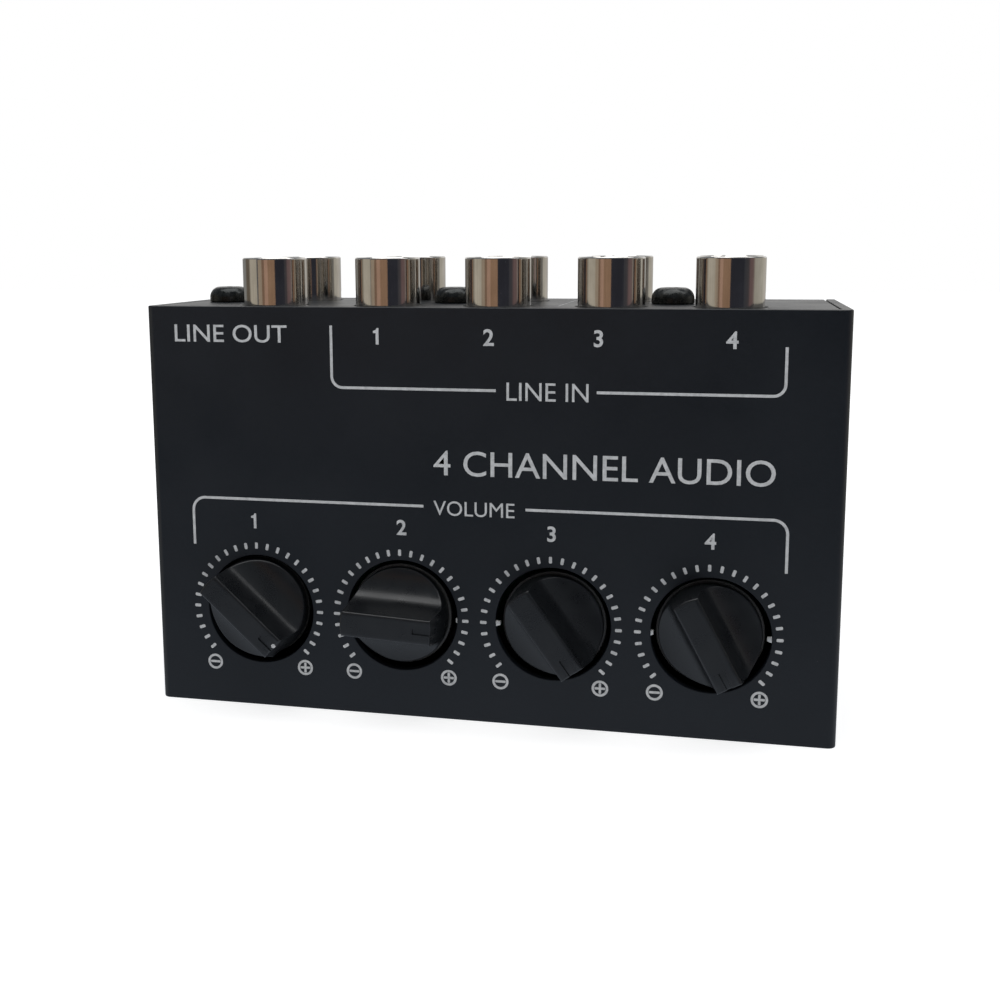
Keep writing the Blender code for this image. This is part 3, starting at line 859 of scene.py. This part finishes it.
def lettering(name, text, z_range, ink, x_range=None, centre=None, weight=0.012):
    """Raised words or digits, fitted between z_range and x_range, or of natural width about centre."""
    font = bpy.data.curves.new(name, "FONT")
    font.body = text
    font.extrude = 0.01
    font.offset = weight
    font.resolution_u = 5
    obj = bpy.data.objects.new(name, font)
    bpy.context.scene.collection.objects.link(obj)
    mesh = evaluated_mesh(obj)
    bpy.data.objects.remove(obj)
    bpy.data.curves.remove(font)
    bm = bmesh.new()
    bm.from_mesh(mesh)
    bpy.data.meshes.remove(mesh)
    bmesh.ops.remove_doubles(bm, verts=bm.verts, dist=1e-5)
    xs = [v.co.x for v in bm.verts]
    ys = [v.co.y for v in bm.verts]
    tall = (z_range[1] - z_range[0]) / (max(ys) - min(ys))
    if x_range is None:
        half = (max(xs) - min(xs)) * tall / 2
        x_range = (centre - half, centre + half)
    wide = (x_range[1] - x_range[0]) / (max(xs) - min(xs))
    for vertex in bm.verts:
        x, y, z = vertex.co
        depth = PANEL_Y - PRINT_RISE if z > 0 else PANEL_Y + PRINT_SUNK
        vertex.co = (PRINT_LEFT + x_range[0] + (x - min(xs)) * wide, depth, z_range[0] + (y - min(ys)) * tall)
    piece(name, build_mesh(name, bm), ink, "console")


def digit_one(name, z_range, ink, centre):
    """A 1 with a short flag at its top left."""
    tall = z_range[1] - z_range[0]
    stem = [(-0.05, 0), (0.13, 0), (0.13, 1), (0.02, 1)]
    flag = [(-0.05, 0.88), (-0.22, 0.82), (-0.22, 0.69), (-0.05, 0.69)]
    bm = bmesh.new()
    add_print(bm, [(centre + x * tall, z_range[0] + z * tall) for x, z in stem + flag])
    piece(name, build_mesh(name, bm), ink, "console")


def make_digit(name, digit, z_range, ink, centre, weight):
    if digit == 1:
        digit_one(name, z_range, ink, centre)
    else:
        lettering(name, str(digit), z_range, ink, centre=centre, weight=weight)


def make_lettering(ink):
    """Three headings, the title, and the channel digits over the sockets' and the knobs' columns."""
    lettering("print_word_outputs", "LINE OUT", (48.68, 50.95), ink, x_range=(3.7, 19.1), weight=0.004)
    lettering("print_word_inputs", "LINE IN", (41.9, 44.14), ink, x_range=(47.56, 57.7), weight=0.0)
    lettering("print_word_levels", "VOLUME", (27.05, 28.94), ink, x_range=(38.16, 48.58), weight=0.0)
    lettering("print_title", "4 CHANNEL AUDIO", (32.2, 35.4), ink, x_range=(38.2, 80.1), weight=0.002)
    weight = 0.02
    input_x = (30.99, 45.31, 58.83, 74.62)
    level_x = (13.92, 33.91, 53.26, 72.69)
    for digit, upper, lower in zip((1, 2, 3, 4), input_x, level_x):
        make_digit(f"print_input_{digit}", digit, (48.62, 50.70), ink, upper, weight)
        make_digit(f"print_level_{digit}", digit, (24.25, 26.25), ink, lower, weight)


def make_top_line(ink):
    """Fine pale line across the top plate between the second and third input pairs."""
    x, width = 9.3, 0.13
    bm = bmesh.new()
    add_box(bm, (x - width / 2, -7.1, TOP_Z - PRINT_SUNK), (x + width / 2, 10.0, TOP_Z + PRINT_RISE))
    piece("print_top_line", build_mesh("print_top_line", bm, edge=0.008), ink, "console")


# ---------------------------------------------------------------- stage

def emission(name, colour, strength=1.0):
    material = bpy.data.materials.new(name)
    material.use_nodes = True
    tree = material.node_tree
    tree.nodes.clear()
    shader = tree.nodes.new("ShaderNodeEmission")
    shader.inputs["Color"].default_value = (*colour, 1.0)
    shader.inputs["Strength"].default_value = strength
    output = tree.nodes.new("ShaderNodeOutputMaterial")
    tree.links.new(shader.outputs[0], output.inputs["Surface"])
    return material


def make_card(name, low, high, colour, behind=-4, strength=1.0):
    """Upright card, seen only in reflections: (x, z) corners and y, behind, are measured from the camera."""
    y = CAMERA_AT.y + behind
    bm = bmesh.new()
    corners = [(low[0], low[1]), (high[0], low[1]), (high[0], high[1]), (low[0], high[1])]
    bm.faces.new([bm.verts.new((CAMERA_AT.x + x, y, CAMERA_AT.z + z)) for x, z in corners])
    card = temporary(name, bm)
    card.data.materials.append(emission(name, colour, strength))
    card.visible_camera = False
    card.visible_diffuse = False
    card.visible_shadow = False
    card.visible_transmission = False


def make_floor():
    """Pale floor that glows white away from the object, so that no horizon shows."""
    bm = bmesh.new()
    half = 1500
    inner, outer = 60 * MM, 260 * MM
    inner_glow, outer_glow = 0.8, 1.05
    corners = ((-half, -half), (half, -half), (half, half), (-half, half))
    bm.faces.new([bm.verts.new((x, y, 0)) for x, y in corners])
    floor = temporary("floor", bm)
    material = emission("floor", (1, 1, 1), inner_glow)
    tree = material.node_tree
    glow = tree.nodes["Emission"]
    place = tree.nodes.new("ShaderNodeTexCoord")
    distance = tree.nodes.new("ShaderNodeVectorMath")
    distance.operation = "LENGTH"
    tree.links.new(place.outputs["Object"], distance.inputs[0])
    spread = tree.nodes.new("ShaderNodeMapRange")
    limits = {"From Min": inner, "From Max": outer, "To Min": inner_glow, "To Max": outer_glow}
    for socket, limit in limits.items():
        spread.inputs[socket].default_value = limit
    tree.links.new(distance.outputs["Value"], spread.inputs["Value"])
    tree.links.new(spread.outputs["Result"], glow.inputs["Strength"])
    matt = tree.nodes.new("ShaderNodeBsdfDiffuse")
    matt.inputs["Color"].default_value = (0.5, 0.5, 0.5, 1)
    both = tree.nodes.new("ShaderNodeAddShader")
    tree.links.new(glow.outputs[0], both.inputs[0])
    tree.links.new(matt.outputs[0], both.inputs[1])
    tree.links.new(both.outputs[0], tree.nodes["Material Output"].inputs["Surface"])
    floor.data.materials.append(material)
    floor.visible_glossy = False


# Surroundings seen in reflections: azimuth in degrees from the front, positive to the right, and colour
ROOM = ((-180, (0.42, 0.42, 0.41)), (-168, (0.25, 0.25, 0.24)), (-110, (0.24, 0.24, 0.23)),
        (-104, (0.14, 0.117, 0.09)), (-86, (0.14, 0.117, 0.09)), (-78, (0.46, 0.42, 0.35)),
        (-50, (0.45, 0.41, 0.34)), (-46, (0.05, 0.06, 0.08)), (-10, (0.025, 0.03, 0.042)),
        (40, (0.04, 0.045, 0.055)), (60, (0.06, 0.055, 0.06)), (66, (0.15, 0.10, 0.10)),
        (78, (0.17, 0.12, 0.115)), (86, (0.38, 0.36, 0.31)), (106, (0.42, 0.40, 0.35)),
        (122, (0.45, 0.43, 0.37)), (146, (0.52, 0.49, 0.44)), (180, (0.45, 0.44, 0.42)))
CEILING = (0.17, 0.185, 0.205)
GROUND = (0.46, 0.51, 0.585)


def make_world():
    """Room colours round the horizon, ceiling above and ground below.  The camera itself sees white."""
    world = bpy.data.worlds.new("studio")
    bpy.context.scene.world = world
    world.use_nodes = True
    tree = world.node_tree
    tree.nodes.clear()

    def node(kind, **settings):
        made = tree.nodes.new(kind)
        for key, value in settings.items():
            setattr(made, key, value)
        return made

    def graded(source, low, high):
        made = node("ShaderNodeMapRange", interpolation_type="SMOOTHSTEP")
        made.inputs["From Min"].default_value = low
        made.inputs["From Max"].default_value = high
        tree.links.new(source, made.inputs["Value"])
        return made.outputs["Result"]

    def mixed(factor, first, second):
        made = node("ShaderNodeMix", data_type="RGBA")
        tree.links.new(factor, made.inputs["Factor"])
        tree.links.new(first, made.inputs[6])
        made.inputs[7].default_value = (*second, 1)
        return made.outputs[2]

    direction = node("ShaderNodeSeparateXYZ")
    tree.links.new(node("ShaderNodeTexCoord").outputs["Generated"], direction.inputs[0])
    forward = node("ShaderNodeMath", operation="MULTIPLY")
    forward.inputs[1].default_value = -1.0
    tree.links.new(direction.outputs["Y"], forward.inputs[0])
    azimuth = node("ShaderNodeMath", operation="ARCTAN2")
    tree.links.new(direction.outputs["X"], azimuth.inputs[0])
    tree.links.new(forward.outputs[0], azimuth.inputs[1])
    share = node("ShaderNodeMapRange")
    share.inputs["From Min"].default_value = -pi
    share.inputs["From Max"].default_value = pi
    tree.links.new(azimuth.outputs[0], share.inputs["Value"])
    room = node("ShaderNodeValToRGB")
    set_stops(room.color_ramp, [((angle + 180) / 360, colour) for angle, colour in ROOM])
    tree.links.new(share.outputs["Result"], room.inputs["Fac"])
    with_ceiling = mixed(graded(direction.outputs["Z"], 0.08, 0.4), room.outputs["Color"], CEILING)
    with_ground = mixed(graded(direction.outputs["Z"], -0.13, -0.45), with_ceiling, GROUND)
    seen = mixed(node("ShaderNodeLightPath").outputs["Is Camera Ray"], with_ground, (1, 1, 1))
    background = node("ShaderNodeBackground")
    tree.links.new(seen, background.inputs["Color"])
    tree.links.new(background.outputs[0], node("ShaderNodeOutputWorld").inputs["Surface"])


def make_softbox(name, at, aim, width, depth, power):
    light = bpy.data.lights.new(name, "AREA")
    light.shape = "RECTANGLE"
    light.size = width * MM
    light.size_y = depth * MM
    light.energy = power
    lamp = bpy.data.objects.new(name, light)
    lamp.location = Vector(at) * MM
    lamp.rotation_euler = (Vector(aim) - Vector(at)).to_track_quat("-Z", "Y").to_euler()
    lamp.visible_camera = False
    bpy.context.scene.collection.objects.link(lamp)


def make_camera():
    data = bpy.data.cameras.new("camera")
    data.sensor_width = 36.0
    data.lens = 43.92
    data.shift_x = 0.0342
    data.shift_y = -0.0662
    data.clip_start = 0.001
    camera = bpy.data.objects.new("camera", data)
    camera.location = CAMERA_AT * MM
    camera.rotation_euler = Euler([radians(t) for t in CAMERA_TURN])
    bpy.context.scene.collection.objects.link(camera)
    bpy.context.scene.camera = camera


def make_stage():
    """Camera, floor and surroundings, cards in front for the barrels to mirror, and two softboxes."""
    make_camera()
    make_floor()
    make_world()
    low, high = -20, 7
    make_card("card_navy", (-4, low), (150, high), (0.028, 0.029, 0.038))
    make_card("card_tan", (-74, low), (-4, high), (0.295, 0.183, 0.118))
    make_card("card_light_tan", (-112, low), (-74, high), (0.42, 0.267, 0.195))
    make_card("card_brown", (-142, low), (-112, high), (0.227, 0.145, 0.10))
    make_card("card_sand", (-205, low), (-142, high), (0.36, 0.29, 0.22))
    make_card("backdrop", (-430, 14), (370, 540), (1.0, 0.99, 0.975), behind=560, strength=0.8)
    make_softbox("softbox_top", (-20, -20, 520), (0, 0, 30), 400, 520, 1.6)
    make_softbox("softbox_right", (225, 10, 330), (0, 0, 20), 130, 130, 0.12)
    bpy.context.scene.view_settings.view_transform = "Standard"


# ---------------------------------------------------------------- assembly

def finish_hidden_nodes():
    """Materials of the CAD nodes that stay as they are, inside the case."""
    finishes = {"block_": block_plastic(), "shaft_": turned_aluminium(), "pot_": zinc_cover(),
                "circuit_board": board_laminate()}
    for name, node in frame["nodes"].items():
        for start, material in finishes.items():
            if name.startswith(start):
                for slot in node.material_slots:
                    slot.material = material


def main():
    paint = powder_paint()
    ink = screen_print()
    black_steel = blackened_steel()
    make_front_cover(paint)
    make_rear_cover(paint)
    make_rear_flanges(paint)
    make_hole_nibs(bare_steel())
    make_jack_screws(black_steel)
    make_case_screws(black_steel)
    nickel = nickel_plate()
    white = insulator_plastic("white_nylon", (0.62, 0.61, 0.56), (0.78, 0.77, 0.73))
    red = insulator_plastic("red_nylon", (0.42, 0.018, 0.012), (0.60, 0.035, 0.022))
    make_sockets(nickel, white, red, tinned_contact())
    make_knobs(knob_plastic(), ink)
    for number in (1, 2, 3, 4):
        make_scale(number, ink)
    make_brackets(ink)
    make_lettering(ink)
    make_top_line(ink)
    finish_hidden_nodes()
    make_stage()


main()
